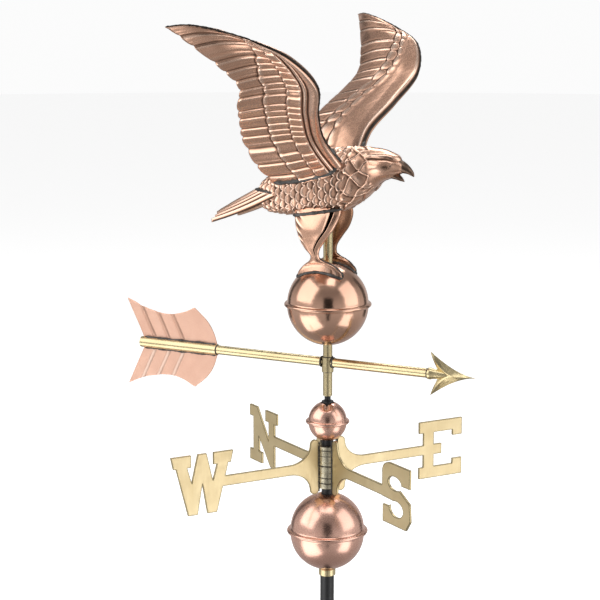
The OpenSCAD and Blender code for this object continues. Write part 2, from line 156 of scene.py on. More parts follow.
def volume(points, faces):
    """Six times the volume inside the faces, negative if they face inwards."""
    a, b, c, d = (points[faces[:, k]] for k in range(4))
    return np.einsum("ij,ij->", a, np.cross(b, c)) + np.einsum("ij,ij->", a, np.cross(c, d))


def linked(name, data):
    """A new object in the scene, made from a mesh, a light or a camera."""
    ob = bpy.data.objects.new(name, data)
    bpy.context.scene.collection.objects.link(ob)
    return ob


def mesh_object(name, points, faces, caps=(), held=None):
    """A smooth closed mesh from millimetre points and quads, turned to face outwards."""
    if volume(points, faces) < 0:
        faces = faces[:, ::-1]
        caps = [c[::-1] for c in caps]
    mesh = bpy.data.meshes.new(name)
    mesh.from_pydata((points * MM).tolist(), [], faces.tolist() + [list(c) for c in caps])
    for key, values in (held or {}).items():
        mesh.attributes.new(key, "FLOAT", "POINT").data.foreach_set("value", values.astype(np.float32))
    mesh.shade_smooth()
    mesh.update()
    return linked(name, mesh)


def closed_sheet(name, top, bottom, held=None):
    """A sheet between two grids of points, closed along its four edges."""
    m, n = top.shape[:2]
    low = m * n
    points = np.concatenate([top.reshape(-1, 3), bottom.reshape(-1, 3)])
    edge = np.concatenate([np.arange(n), np.arange(1, m) * n + n - 1,
                           (m - 1) * n + np.arange(n - 2, -1, -1), np.arange(m - 2, 0, -1) * n])
    after = np.roll(edge, -1)
    rim = np.stack([edge, edge + low, after + low, after], -1)
    faces = np.concatenate([quads(m, n), quads(m, n, low)[:, ::-1], rim])
    return mesh_object(name, points, faces, held=held)


def closed_tube(name, rings, held=None):
    """A tube through rings of points, its two ends closed."""
    m, n = rings.shape[:2]
    caps = [np.arange(n)[::-1].tolist(), ((m - 1) * n + np.arange(n)).tolist()]
    return mesh_object(name, rings.reshape(-1, 3), quads(m, n, around=True), caps, held)


def spun(name, profile, steps, uneven=0.0, dents=None):
    """A closed outline of (radius, height) turned about Z, slightly uneven as spun metal is."""
    p = np.asarray(profile, float)
    turn = np.arange(steps) / steps * 2 * math.pi
    r = p[None, :, 0] + uneven * wobble(np.cos(turn)[:, None] * 2, p[None, :, 1] * 0.05, 1.3)
    points = np.stack([r * np.cos(turn)[:, None], r * np.sin(turn)[:, None],
                       np.broadcast_to(p[None, :, 1], r.shape)], -1)
    if dents is not None:
        points = dents(points)
    n = len(p)
    i, j = np.meshgrid(np.arange(steps), np.arange(n), indexing="ij")
    a, b = i * n + j, i * n + (j + 1) % n
    c, d = (i + 1) % steps * n + (j + 1) % n, (i + 1) % steps * n + j
    return mesh_object(name, points.reshape(-1, 3), np.stack([a, b, c, d], -1).reshape(-1, 4))


BEAD_SIDES, BEAD_STEP = 10, 1.1


def bead(name, path, radius, seed):
    """An uneven run of solder or a rolled edge along a path, thin at both ends."""
    p = np.asarray(path, float)
    run = np.concatenate([[0], np.cumsum(np.linalg.norm(np.diff(p, axis=0), axis=1))])
    count = max(8, int(run[-1] / BEAD_STEP))
    s = np.linspace(0, run[-1], count)
    centre = np.stack([np.interp(s, run, p[:, k]) for k in range(3)], -1)
    for _ in range(2):
        centre[1:-1] = (centre[:-2] + 2 * centre[1:-1] + centre[2:]) / 4
    along = unit(np.gradient(centre, axis=0))
    side = unit(np.cross(along, [0.013, 0.021, 1.0]))
    up = np.cross(side, along)
    end = np.sqrt(np.clip(np.minimum(s, run[-1] - s) / (2 * radius), 0.02, 1))
    size = radius * end * (1 + 0.22 * wobble(s / (3 * radius), s * 0, seed))
    turn = np.arange(BEAD_SIDES) / BEAD_SIDES * 2 * math.pi
    lumps = 1 + 0.12 * wobble(s[:, None] / radius, 2 * np.cos(turn)[None, :], seed + 2)
    r = (size[:, None] * lumps)[..., None]
    rings = centre[:, None] + r * (np.cos(turn)[None, :, None] * side[:, None]
                                   + np.sin(turn)[None, :, None] * up[:, None])
    return closed_tube(name, rings)


def place(ob, body, m, finish, *nodes):
    """Gives a piece its finish and its body, and hides the CAD nodes that it stands for."""
    ob.data.materials.clear()
    ob.data.materials.append(m[finish])
    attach(ob, body)
    if nodes:
        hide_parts(*nodes)


def solder(m, name, path, radius, seed, body=VANE, finish="solder"):
    """A run of solder, or a seam, along a path."""
    place(bead(name, path, radius, seed), body, m, finish)


SHARP = 0.5                      # radians: an edge that bends more than this is broken
PLATE_EDGE = (0.0018, 0.0045)    # metres: length of the level edges across a cut plate


def sharp_edges(bm):
    return [e for e in bm.edges if len(e.link_faces) == 2 and e.calc_face_angle() > SHARP]


def across_plate(edge):
    """True for an edge that runs level from one face of a cut plate to the other."""
    level = abs(edge.verts[0].co.z - edge.verts[1].co.z) < 1e-5
    return level and PLATE_EDGE[0] < edge.calc_length() < PLATE_EDGE[1]


def round_off(bm, edges, width):
    """Rounds edges over, width millimetres to each side."""
    bmesh.ops.bevel(bm, geom=edges, offset=width * MM, segments=3, profile=0.5,
                    affect="EDGES", clamp_overlap=True)


def rounded_copy(node, width, corner=0.0):
    """A copy of a CAD node with its edges broken and, for a cut plate, its corners rounded."""
    bm = bmesh.new()
    bm.from_mesh(frame["nodes"][node].data)
    bmesh.ops.remove_doubles(bm, verts=bm.verts, dist=1e-6)
    bmesh.ops.dissolve_limit(bm, angle_limit=math.radians(0.4), verts=bm.verts, edges=bm.edges)
    if corner:
        round_off(bm, [e for e in sharp_edges(bm) if across_plate(e)], corner)
    round_off(bm, sharp_edges(bm), width)
    mesh = bpy.data.meshes.new(node + "_finished")
    bm.to_mesh(mesh)
    bm.free()
    mesh.shade_smooth()
    ob = linked(node + "_finished", mesh)
    even = ob.modifiers.new("even", "WEIGHTED_NORMAL")
    even.weight = 100
    return ob


# ---------- materials ----------

def feed(tree, socket, value):
    """Joins an input to another node's output, or sets it to a constant."""
    if isinstance(value, bpy.types.NodeSocket):
        tree.links.new(value, socket)
    else:
        socket.default_value = value


def add(tree, kind, **inputs):
    """A node with its inputs set by name, from values or from other nodes' outputs."""
    node = tree.nodes.new(kind)
    for key, value in inputs.items():
        feed(tree, node.inputs[key.replace("_", " ")], value)
    return node


def mixed(tree, factor, a, b):
    """Colour a turning into colour b as the factor rises."""
    node = tree.nodes.new("ShaderNodeMix")
    node.data_type = "RGBA"
    for socket, value in ((node.inputs[0], factor), (node.inputs[6], a), (node.inputs[7], b)):
        feed(tree, socket, (*value, 1.0) if isinstance(value, tuple) else value)
    return node.outputs[2]


def summed(tree, a, b):
    node = tree.nodes.new("ShaderNodeMath")
    feed(tree, node.inputs[0], a)
    feed(tree, node.inputs[1], b)
    return node.outputs[0]


def mark(tree, name):
    """A number that a mesh holds at each of its points, such as crevice or ridge."""
    node = tree.nodes.new("ShaderNodeAttribute")
    node.attribute_name = name
    return node.outputs["Fac"]


def spread(tree, value, low, high, to_low, to_high):
    """The value, held between low and high, carried over to the range to_low to to_high."""
    node = add(tree, "ShaderNodeMapRange", Value=value, From_Min=low, From_Max=high,
               To_Min=to_low, To_Max=to_high)
    return node.outputs["Result"]


def noise(tree, where, scale, detail=3.0, distortion=0.0):
    node = add(tree, "ShaderNodeTexNoise", Vector=where, Scale=scale, Detail=detail, Distortion=distortion)
    return node.outputs["Fac"]


def metal(name, light, shade, rough, grain=0.06, stretch=(1, 1, 1), patch=14.0, fine=700.0,
          dark=(0.03, 0.022, 0.018), bright=None, bump=0.00004, metallic=1.0, edge=None):
    """Worked metal: broad tone patches, fine brushed grain, painted shade in crevices and a painted
    highlight on ridges.
    """
    material = bpy.data.materials.new(name)
    material.use_nodes = True
    tree = material.node_tree
    tree.nodes.clear()
    out = tree.nodes.new("ShaderNodeOutputMaterial")
    where = tree.nodes.new("ShaderNodeTexCoord").outputs["Object"]
    stretched = add(tree, "ShaderNodeMapping", Vector=where, Scale=stretch).outputs["Vector"]
    broad = noise(tree, where, patch, 5.0, 0.6)
    mottled = noise(tree, where, patch * 9, 3.0, 0.3)
    grainy = noise(tree, stretched, fine, 2.0)
    colour = mixed(tree, spread(tree, broad, 0.32, 0.68, 0.0, 1.0), shade, light)
    colour = mixed(tree, spread(tree, mottled, 0.55, 0.8, 0.0, 0.25), colour, shade)
    # painted highlight: ridges lightened towards the bright colour
    if bright is not None:
        colour = mixed(tree, spread(tree, mark(tree, "ridge"), 0.0, 1.0, 0.0, 0.7), colour, bright)
    if edge is not None:
        # darkens the colour along sharp edges
        colour = mixed(tree, darkened_edge(tree), colour, edge)
    # painted shade: crevices darkened towards the dark colour, and made rougher
    crevice = mark(tree, "crevice")
    colour = mixed(tree, spread(tree, crevice, 0.12, 1.0, 0.0, 0.9), colour, dark)
    uneven = spread(tree, grainy, 0.3, 0.7, rough - grain, rough + grain)
    smeared = spread(tree, mottled, 0.4, 0.8, 0.0, grain * 0.6)
    rougher = spread(tree, crevice, 0.0, 0.8, 0.0, 0.35)
    roughness = summed(tree, summed(tree, uneven, smeared), rougher)
    relief = add(tree, "ShaderNodeBump", Height=grainy, Strength=0.5, Distance=bump)
    hand = add(tree, "ShaderNodeBump", Height=mottled, Strength=0.5, Distance=bump * 8,
               Normal=relief.outputs["Normal"])
    shader = add(tree, "ShaderNodeBsdfPrincipled", Base_Color=colour, Roughness=roughness,
                 Normal=hand.outputs["Normal"], Metallic=metallic)
    tree.links.new(shader.outputs["BSDF"], out.inputs["Surface"])
    return material


def darkened_edge(tree):
    """1 along sharp edges, where the colour is darkened, and 0 on open faces."""
    soft = tree.nodes.new("ShaderNodeBevel")
    soft.samples = 6
    soft.inputs["Radius"].default_value = 0.0024
    flat = tree.nodes.new("ShaderNodeNewGeometry").outputs["Normal"]
    dot = tree.nodes.new("ShaderNodeVectorMath")
    dot.operation = "DOT_PRODUCT"
    tree.links.new(soft.outputs["Normal"], dot.inputs[0])
    tree.links.new(flat, dot.inputs[1])
    return spread(tree, dot.outputs["Value"], 0.999, 0.96, 0.0, 0.9)


def materials():
    """Every finish of the vane, by its name."""
    # In each finish, dark is the colour of painted shade in crevices and bright the colour of a painted
    # highlight on ridges.
    return {
        "black_steel": metal("black_steel", (0.018, 0.018, 0.019), (0.009, 0.009, 0.010), 0.38,
                             metallic=0.0, fine=420.0, bump=0.00006),
        "bright_steel": metal("bright_steel", (0.62, 0.61, 0.60), (0.42, 0.41, 0.40), 0.28),
        "bush_plastic": metal("bush_plastic", (0.80, 0.78, 0.70), (0.70, 0.67, 0.58), 0.45, metallic=0.0),
        "tube_brass": metal("tube_brass", (0.71, 0.60, 0.36), (0.60, 0.49, 0.28), 0.25, grain=0.06,
                            dark=(0.08, 0.07, 0.035), patch=20.0),
        "letter_brass": metal("letter_brass", (0.84, 0.69, 0.42), (0.73, 0.58, 0.33), 0.38, grain=0.09,
                              stretch=(1, 1, 0.05), fine=900.0, edge=(0.13, 0.11, 0.05), patch=22.0),
        "hub_brass": metal("hub_brass", (0.66, 0.60, 0.44), (0.44, 0.40, 0.30), 0.26, grain=0.10,
                           dark=(0.04, 0.035, 0.025), patch=70.0),
        "pale_copper": metal("pale_copper", (0.86, 0.56, 0.43), (0.79, 0.49, 0.37), 0.50, grain=0.08,
                             dark=(0.30, 0.19, 0.14), patch=16.0, bright=(0.95, 0.76, 0.65)),
        "ball_copper": metal("ball_copper", (0.86, 0.53, 0.42), (0.78, 0.45, 0.35), 0.24, grain=0.06,
                             stretch=(1, 1, 14), fine=420.0, patch=13.0, dark=(0.10, 0.06, 0.04),
                             bump=0.000015),
        "bright_copper": metal("bright_copper", (0.76, 0.47, 0.34), (0.66, 0.39, 0.28), 0.17, grain=0.04,
                               stretch=(1, 1, 12), fine=150.0, patch=12.0, dark=(0.07, 0.045, 0.03)),
        "bird_copper": metal("bird_copper", (0.83, 0.50, 0.36), (0.72, 0.42, 0.29), 0.24, grain=0.06,
                             dark=(0.045, 0.028, 0.02), bright=(0.98, 0.74, 0.60), patch=18.0,
                             fine=1300.0, bump=0.000008),
        "solder": metal("solder", (0.16, 0.155, 0.15), (0.07, 0.068, 0.065), 0.50, grain=0.12,
                        patch=60.0, fine=380.0, bump=0.00012),
        "seam": metal("seam", (0.07, 0.06, 0.052), (0.035, 0.03, 0.027), 0.40, patch=60.0),
        "beak_copper": metal("beak_copper", (0.24, 0.16, 0.12), (0.15, 0.10, 0.075), 0.33, patch=40.0),
        # painted shade: a darker copper for the far leg's inner half, which stands in shade
        "far_leg_shade": metal("far_leg_shade", (0.38, 0.20, 0.12), (0.25, 0.13, 0.08), 0.28, patch=22.0),
    }


# ---------- rod, hub, letters, tubes ----------

def turned_parts(m):
    """The rod, its collar and the hub, with broken edges."""
    for node in ("pole", "upper_rod", "spindle"):
        place(rounded_copy(node, 0.5), MAST, m, "black_steel", node)
    place(rounded_copy("rod_collar", 0.35), MAST, m, "tube_brass", "rod_collar")
    for node in ("hub_ring_lower", "hub_ring_upper"):
        place(rounded_copy(node, 0.35), MAST, m, "hub_brass", node)
    for node in ("vane_tube", "arrow_cross", "arrow_shaft_front", "arrow_shaft_rear", "fletch_sleeve"):
        place(rounded_copy(node, 0.3), VANE, m, "tube_brass", node)


def inner_parts(m):
    """CAD nodes that stay as they are, with the finish of what they are made of."""
    finish = {"thrust_ball": "bright_steel", "collar_screw": "bright_steel", "hub_screws": "bright_steel",
              "tube_plug": "tube_brass", "lower_bush": "bush_plastic", "upper_bush": "bush_plastic"}
    for node, slot in finish.items():
        ob = frame["nodes"][node]
        ob.data.materials.clear()
        ob.data.materials.append(m[slot])


def letter_arms(m):
    """The four cut plates, each an arm and its letter in one piece."""
    for node in ("arm_north", "arm_east", "arm_south", "arm_west"):
        place(rounded_copy(node, 0.45, 1.3), MAST, m, "letter_brass", node)


# ---------- balls ----------

ROLL = 2.6                       # radius of the rolled bead at a ball's rim
FLANGE = 3.4                     # how far the lower half's flange stays inside the rim
BALL_Z, BALL_R = 583.7, 55.0     # the big ball's seam height and radius


def ball_wall(r, band, hole, up, seam):
    """Outline of one half: up the outside from the seam to the hole, and back down the inside."""
    top = math.acos(hole / r)
    angles = np.linspace(0, top, 44)
    outer = [(r * math.cos(a), seam + up * (band + r * math.sin(a))) for a in angles]
    ri = r - SHEET
    inner = [(ri * math.cos(a), seam + up * (band + ri * math.sin(a))) for a in angles[::-1]]
    return outer, inner


def ball_top_outline(r, rim, band, hole, seam):
    """The upper half, whose edge is rolled outwards into a bead over the lower half's flange."""
    outer, inner = ball_wall(r, band, hole, 1, seam)
    middle = (rim - ROLL, seam - SHEET / 2)
    roll = [(middle[0] + ROLL * math.cos(a), middle[1] + ROLL * math.sin(a))
            for a in np.radians(np.arange(-125, 100, 12))]
    foot = [(r - SHEET, seam - 0.1), (r + 0.3, seam - 0.1)]
    return foot + roll + outer[1:] + inner


def ball_bottom_outline(r, rim, band, hole, seam):
    outer, inner = ball_wall(r, band, hole, -1, seam - SHEET)
    flange = [(rim - FLANGE, seam - SHEET), (rim - FLANGE, seam - 0.2), (r - SHEET, seam - 0.2)]
    return outer[::-1] + flange + inner[::-1]


DENT_TURN, DENT_WIDTH, DENT_DEPTH = -1.15, 0.33, 3.2


def torn_top(points):
    """The knocked edge of the small ball's hole."""
    x, y, z = points[..., 0], points[..., 1], points[..., 2]
    turn = np.arctan2(y, x)
    near = hump(np.angle(np.exp(1j * (turn - DENT_TURN))), DENT_WIDTH) * ease((z - 438) / 8)
    out = points.copy()
    out[..., 2] -= DENT_DEPTH * near * (0.7 + 0.3 * np.sin(9 * turn))
    out[..., 0] *= 1 - 0.05 * near
    out[..., 1] *= 1 - 0.05 * near
    return out


def balls(m):
    """The spun balls, each of two halves.

    A row holds name, body, radius, rim's radius, seam's height, the straight band and the hole
    of each half (lower first), finish, and what dents the upper half.
    """
    rows = [("lower_ball", MAST, 50.6, 55.5, 267.7, (3.2, 2.0), (8.7, 8.7), "ball_copper", None),
            ("small_ball", MAST, 26.0, 29.8, 421.7, (1.0, 1.4), (8.7, 9.5), "ball_copper", torn_top),
            ("big_ball", VANE, BALL_R, 59.0, BALL_Z, (0.4, 0.4), (6.7, 6.7), "bright_copper", None)]
    for name, body, r, rim, seam, bands, holes, finish, dents in rows:
        outline = ball_bottom_outline(r, rim, bands[0], holes[0], seam)
        low = spun(name + "_lower_shell", outline, 180, 0.10)
        place(low, body, m, finish, name + "_bottom")
        outline = ball_top_outline(r, rim, bands[1], holes[1], seam)
        top = spun(name + "_upper_shell", outline, 180, 0.10, dents)
        place(top, body, m, finish, name + "_top")


# ---------- arrow ----------

ARROW_Z = 503.3
TUBE_R = 6.45                    # just outside the half-inch tube
HEAD_REAR, HEAD_TIP, HEAD_SPAN = 153.0, 215.6, 28.7
HEAD_NOTCH = 13.5                # how far its rear edge runs forward from barb to middle
RIDGE_END, RIDGE_HEIGHT = 190.0, 3.2


def head_face(side):
    """One face of the arrowhead: each barb has a ridge, and falls away from it on both sides."""
    u, v = grid(110, 121, -1)
    x = HEAD_REAR + HEAD_NOTCH * (1 - abs(v))
    x = x + (HEAD_TIP - x) * u
    span = HEAD_SPAN * ((HEAD_TIP - x) / (HEAD_TIP - HEAD_REAR)) ** 1.65 + 0.4
    out = abs(v) * span
    ridge = HEAD_SPAN * np.clip((RIDGE_END - x) / (RIDGE_END - HEAD_REAR), 0, 1) ** 2.1
    outer = np.clip((span - out) / np.maximum(span - ridge, 0.8), 0, 1)
    inner = np.clip(1 - (ridge - out) / 7.5, 0.12, 1)
    crest = RIDGE_HEIGHT * ease((HEAD_TIP + 4 - x) / 22) * ease((x - HEAD_REAR + 4) / 9)
    half = crest * np.where(out > ridge, outer, inner) + 0.45 + 0.06 * wobble(x * 0.1, v * 4, 2.0)
    return np.stack([x, side * half, ARROW_Z + v * span * (1 + 0.006 * wobble(x * 0.15, v, 5.0))], -1)


def level_outline(points):
    """(distance along +X, radius) pairs as an outline for spun()."""
    return [(r, x) for x, r in points]


def arrowhead(m):
    blade = closed_sheet("arrowhead_blade", head_face(-1), head_face(1))
    place(blade, VANE, m, "tube_brass", "arrowhead")
    outline = level_outline([(HEAD_REAR - 4, TUBE_R), (HEAD_REAR - 4, 7.2), (HEAD_REAR - 2.5, 8.0),
                             (HEAD_REAR + 0.5, 8.0), (HEAD_REAR + 3, 6.9), (HEAD_REAR + 9, 6.4),
                             (HEAD_REAR + 20, 3.9), (HEAD_REAR + 31, 1.2), (HEAD_REAR + 33, 0.3),
                             (HEAD_REAR + 6, 0.3), (HEAD_REAR - 1, TUBE_R)])
    socket = spun("arrowhead_socket", outline, 72)
    turn_level(socket)
    place(socket, VANE, m, "tube_brass")


def turn_level(ob):
    """Lays a spun part along +X at the arrow's height."""
    for v in ob.data.vertices:
        v.co = Vector((v.co.z, v.co.y, ARROW_Z * MM - v.co.x))
    ob.data.update()


# The upper tail vane from the side: distance along +X and height over the arrow's axis.
FLETCH_TOP = [(-321, 62), (-285, 48.5), (-252, 44), (-230, 48), (-210, 56.5)]
FLETCH_FRONT = [(-210, 56.5), (-190, 40.5), (-179, 24), (-173.5, 8)]
FLETCH_REAR = (-294.0, 7.85)
FLETCH_NEAR_FRONT = FLETCH_FRONT[-1][0]
PLEATS = (17.0, 38.0, 59.0)      # distance of each pleat from the rear edge
PLEAT_HALF = 3.4


def fletch_edge(s):
    """Points on a tail vane's far edge, rear to front, for s from 0 to 1 of its length."""
    front = curve(FLETCH_FRONT, np.linspace(0, 1, 40))
    line = np.concatenate([curve(FLETCH_TOP, np.linspace(0, 1, 60)), front[1:]])
    run = np.concatenate([[0], np.cumsum(np.linalg.norm(np.diff(line, axis=0), axis=1))])
    return np.stack([np.interp(s * run[-1], run, line[:, k]) for k in (0, 1)], -1)


def pleat_band(across, d):
    """1 on the flat of a pleat at distance d from the rear edge, 0 beside it."""
    return ease((across - d + PLEAT_HALF) / 2.2) * ease((d + PLEAT_HALF - across) / 2.2)


def fletch_face(up, side):
    """One face of a tail vane, its pleats parallel to the swept rear edge."""
    s, t = grid(170, 56)
    near_x = FLETCH_REAR[0] + (FLETCH_NEAR_FRONT - FLETCH_REAR[0]) * s
    near = np.stack([near_x, np.full_like(s, FLETCH_REAR[1])], -1)
    p = near + (fletch_edge(s) - near) * t[..., None]
    p[..., 1] += 0.5 * wobble(p[..., 0] * 0.06, t, 3.0 + up) * t
    across = (p[..., 0] - FLETCH_REAR[0]) * 0.895 + (p[..., 1] - FLETCH_REAR[1]) * 0.446
    pleat = sum(pleat_band(across, d) for d in PLEATS) * ease(t / 0.08)
    lift = -1.3 * pleat + 0.35 * wobble(p[..., 0] * 0.05, p[..., 1] * 0.06, 4.0 + up)
    y = lift + side * (0.75 - 0.3 * ease((t - 0.97) / 0.03))
    return np.stack([p[..., 0], y, ARROW_Z + up * p[..., 1]], -1), np.clip(pleat, 0, 1)


def fletch(m):
    """The arrow's two pleated tail vanes and the solder that holds them to the sleeve; the pleats carry
    painted shade on the upper vane and a painted highlight on the lower.
    """
    for name, up in (("fletch_upper", 1), ("fletch_lower", -1)):
        left, pleat = fletch_face(up, 1)
        right, _ = fletch_face(up, -1)
        # painted light on the pleats: painted shade on the upper vane, a painted highlight on the lower
        dark, pale = (0.30, 0.0) if up > 0 else (0.0, 0.8)
        blade = closed_sheet(name + "_vane", left, right, marks([pleat * dark] * 2, [pleat * pale] * 2))
        place(blade, VANE, m, "pale_copper", name)
        for side, side_name in ((-1, "right"), (1, "left")):
            x = np.linspace(-292, -175, 60)
            y = side * (1.9 + 0.3 * np.sin(x * 0.35))
            z = ARROW_Z + up * (7.6 + 0.5 * np.sin(x * 0.21))
            solder(m, f"{name}_solder_{side_name}", np.stack([x, y, z], -1), 1.5, up + side * 2.0)


# ---------- eagle: wings ----------

# Edges of the left wing: front, outer end, rear and root.
WING_LEAD = [(32, 27, 779), (28, 68, 814), (44, 113, 849), (61, 149, 887), (41, 189, 924), (-4, 212, 946)]
WING_OUTER = [(-4, 212, 946), (-26, 222, 953), (-46, 231, 958.5), (-68, 245, 962), (-87, 264, 960)]
WING_TRAIL = [(-71, 24, 746), (-79, 56, 773), (-81, 87, 807), (-70, 117, 835), (-55, 149, 859),
              (-41, 168, 883), (-50, 196, 908), (-68, 231, 935), (-87, 264, 960)]
WING_ROOT = [(32, 27, 779), (20, 30.5, 765), (0, 32, 758), (-30, 30.5, 751), (-71, 24, 746)]
FLIGHT = 15                      # flight feathers of one wing
COVERTS = 1.5                    # coverts on its underside for each flight feather
WING_ROWS, WING_COLUMNS = 271, 141
WING_CUP = 9                     # how far the wing's middle bulges


def wing_mid(u, v):
    """The wing's middle surface before it is cupped: u from root to tip, v from front to back."""
    u, v = np.broadcast_arrays(u, v)
    p, q = u[..., None], v[..., None]
    corners = [np.array(c, float) for c in (WING_LEAD[0], WING_TRAIL[0], WING_OUTER[0], WING_OUTER[-1])]
    return ((1 - q) * curve(WING_LEAD, u) + q * curve(WING_TRAIL, u) + (1 - p) * curve(WING_ROOT, v)
            + p * curve(WING_OUTER, v) - (1 - p) * (1 - q) * corners[0] - (1 - p) * q * corners[1]
            - p * (1 - q) * corners[2] - p * q * corners[3])


def wing_point(u, v, off):
    """Points at a distance from the cupped middle surface, positive on the back of the wing."""
    e = 0.01
    uu, vv = np.clip(u, e, 1 - e), np.clip(v, e, 1 - e)
    outwards = wing_mid(uu + e, vv) - wing_mid(uu - e, vv)
    backwards = wing_mid(uu, vv + e) - wing_mid(uu, vv - e)
    normal = unit(np.cross(outwards, backwards))
    cup = WING_CUP * np.sin(np.pi * v) * np.sqrt(np.maximum(0, np.sin(np.pi * u)))
    return wing_mid(u, v) + normal * (cup + off)[..., None]


def wing_gap(u, v):
    """Half the hollow between a wing's two skins."""
    across, along = np.sin(np.pi * np.clip(v, 0, 1) ** 0.6), np.sin(np.pi * np.minimum(1, u + 0.15))
    return 3.2 * np.sqrt(np.maximum(0, across * along)) + 0.02


def feather_count(u):
    """Feathers from the root to u, unevenly wide."""
    return FLIGHT * u + 0.16 * np.sin(19 * u) + 0.10 * np.sin(41 * u + 1)


def rib(s, power):
    """Rounded cross-section of one feather: 0 at its two edges, 1 over its middle."""
    return 1 - np.abs(2 * s - 1) ** power


def rolled(q):
    """Height of a rolled band: 0 at q = 0 and 1, full and steep-sided between."""
    return np.sqrt(np.clip(np.sin(np.pi * np.clip(q, 0, 1)), 0, 1))


def under_relief(u, v):
    """The wing's underside: rolled leading bands, two rows of coverts, then the long feathers."""
    end = table(u, [(0, 0.70), (0.5, 0.72), (0.66, 0.74), (0.76, 0.56), (0.86, 0.32), (0.94, 0.15),
                    (1, 0.05)])
    middle = end * table(u, [(0, 0.66), (0.6, 0.65), (0.8, 0.58), (1, 0.5)])
    start = end * table(u, [(0, 0.385), (0.6, 0.385), (0.8, 0.30), (1, 0.25)])
    clump = 1.8 * hump(u - 0.80, 0.13) * hump(v - 0.24, 0.2)
    n = feather_count(u)
    s = share(n)
    tilt = 0.30 * np.sin(2.4 * np.floor(n) + 0.7)
    body = rib(s, 5) + 0.45 * hump(s - 0.82, 0.11) + tilt * (s - 0.5)
    h = 1.25 * body - 0.4 * hump(s - 0.28, 0.05)
    tip = end + 0.022 * (rib(s, 2) - 0.6) + 0.008 * np.sin(3.1 * np.floor(n))
    t = (v - middle) / (end - middle)
    across = share(COVERTS * n)
    small = rib(across, 4) + 0.5 * hump(across - 0.80, 0.14)
    row = clump + 1.45 + 0.95 * small + 0.7 * ease(t) + 0.35 * hump(t - 0.93, 0.09) * rib(s, 3)
    h = lay_row(h, row, v, tip, 0.35)
    s = share(COVERTS * n + 0.3)
    body = rib(s, 4) + 0.5 * hump(s - 0.80, 0.14)
    tip = middle + 0.016 * (rib(s, 2) - 0.6)
    t = (v - start) / (middle - start)
    row = clump + 2.2 + 0.8 * body + 0.6 * ease(t) + 0.75 * hump(t - 0.93, 0.10) * hump(s - 0.7, 0.3)
    h = lay_row(h, row, v, tip, 0.30)
    q = v / start
    band = 4.2 * rolled(q / 0.60) + 2.6 * rolled((q - 0.66) / 0.22) + 1.5 * ease((q - 0.90) / 0.06)
    inside = ease((1.0 - q) / 0.05)
    return h * (1 - inside) + band * inside


def upper_relief(u, v):
    """The wing's back: a wide smooth shoulder, two staggered rows of coverts, broad long feathers."""
    end = table(u, [(0, 0.84), (0.2, 0.80), (0.3, 0.77), (0.4, 0.70), (0.5, 0.62), (0.6, 0.58),
                    (0.7, 0.49), (0.8, 0.36), (0.9, 0.17), (1, 0.06)])
    narrow = table(u, [(0, 1.0), (0.7, 0.95), (0.85, 0.7), (1, 0.3)])
    middle, start = end - 0.145 * narrow, end - 0.26 * narrow
    n = feather_count(u)
    s = share(n)
    tilt = 0.5 * np.sin(1.9 * np.floor(n) + 0.3)
    h = 0.65 * rib(s, 6) + 1.0 * hump(s - 0.9, 0.07) + 0.5 * s + 0.25 * tilt * (s - 0.5)
    s_low, s_high = share(n + 0.35), share(n + 0.85)
    tip = end + 0.034 * (rib(s_low, 2.2) - 0.7) * narrow
    t = (v - middle) / np.maximum(end - middle, 0.02)
    row = 1.35 + 0.85 * rib(s_low, 3) + 0.8 * ease(t)
    h = lay_row(h, row, v, tip, 1.6)
    tip = middle + 0.030 * (rib(s_high, 2.2) - 0.7) * narrow
    t = (v - start) / np.maximum(middle - start, 0.02)
    row = 1.9 + 0.7 * rib(s_high, 3) * ease(t * 1.5) + 0.7 * ease(t)
    h = lay_row(h, row, v, tip, 0.6)
    shoulder = 2.2 * ease(v / 0.03) + 0.3 * ease((0.12 - v) / 0.1)
    inside = ease((start + 0.03 - v) / 0.05)
    return h * (1 - inside) + shoulder * inside


def lay_row(under, over, v, tip, crack):
    """Lays a row of feathers over what lies under it, up to its tips, with a crack along them."""
    on = ease((tip - v) / 0.012 + 0.5)
    return under * (1 - on) + over * on - crack * hump(v - tip - 0.011, 0.008)


def wing(m, name, side):
    """One wing: its two stamped skins, closed along their soldered edge."""
    u, v = grid(WING_ROWS, WING_COLUMNS)
    n = feather_count(u)
    reach = 0.955 + 0.032 * rib(share(n), 2.5) + 0.006 * np.sin(7 * np.floor(n))
    reach = 1 - (1 - reach) * ease(u / 0.03) * ease((1 - u) / 0.02)
    w = v * reach
    faces, crevices, ridges = [], [], []
    for direction, relief in ((1, upper_relief), (-1, under_relief)):
        h = relief(u, w) * ease(v / 0.02) * (1 - 0.45 * ease((v - 0.97) / 0.03))
        h = h + 0.06 * wobble(u * 30, v * 12, 3.0 + direction)
        p = wing_point(u, w, direction * (wing_gap(u, w) + SHEET + h))
        faces.append(p * [1, side, 1])
        # masks for painted shade in the feathers' hollows and a painted highlight on their ridges
        crevice, ridge = painted_shade_and_highlight(h, 3, 0.42 if direction > 0 else 0.75)
        crevices.append(crevice)
        ridges.append(ridge)
    ob = closed_sheet(f"wing_{name}_shell", *faces, marks(crevices, ridges))
    place(ob, VANE, m, "bird_copper", f"wing_{name}_back", f"wing_{name}_front")
    edge_seam_and_shade(m, name, side)
    root_solder(m, name, side)


def edge_seam_and_shade(m, name, side):
    """The soldered seam round a wing's leading and outer edge, near-black as painted shade along the
    rolled edge.
    """
    t = np.linspace(0, 1, 200)
    lead = wing_point(t, t * 0, t * 0)
    outer = wing_point(t * 0 + 1, t, t * 0)
    path = np.concatenate([lead, outer[1:]]) * [1, side, 1]
    # a real seam, in the near-black finish as painted shade of the rolled edge
    solder(m, f"wing_{name}_seam", path, 1.5, 2.0 + side, finish="seam")


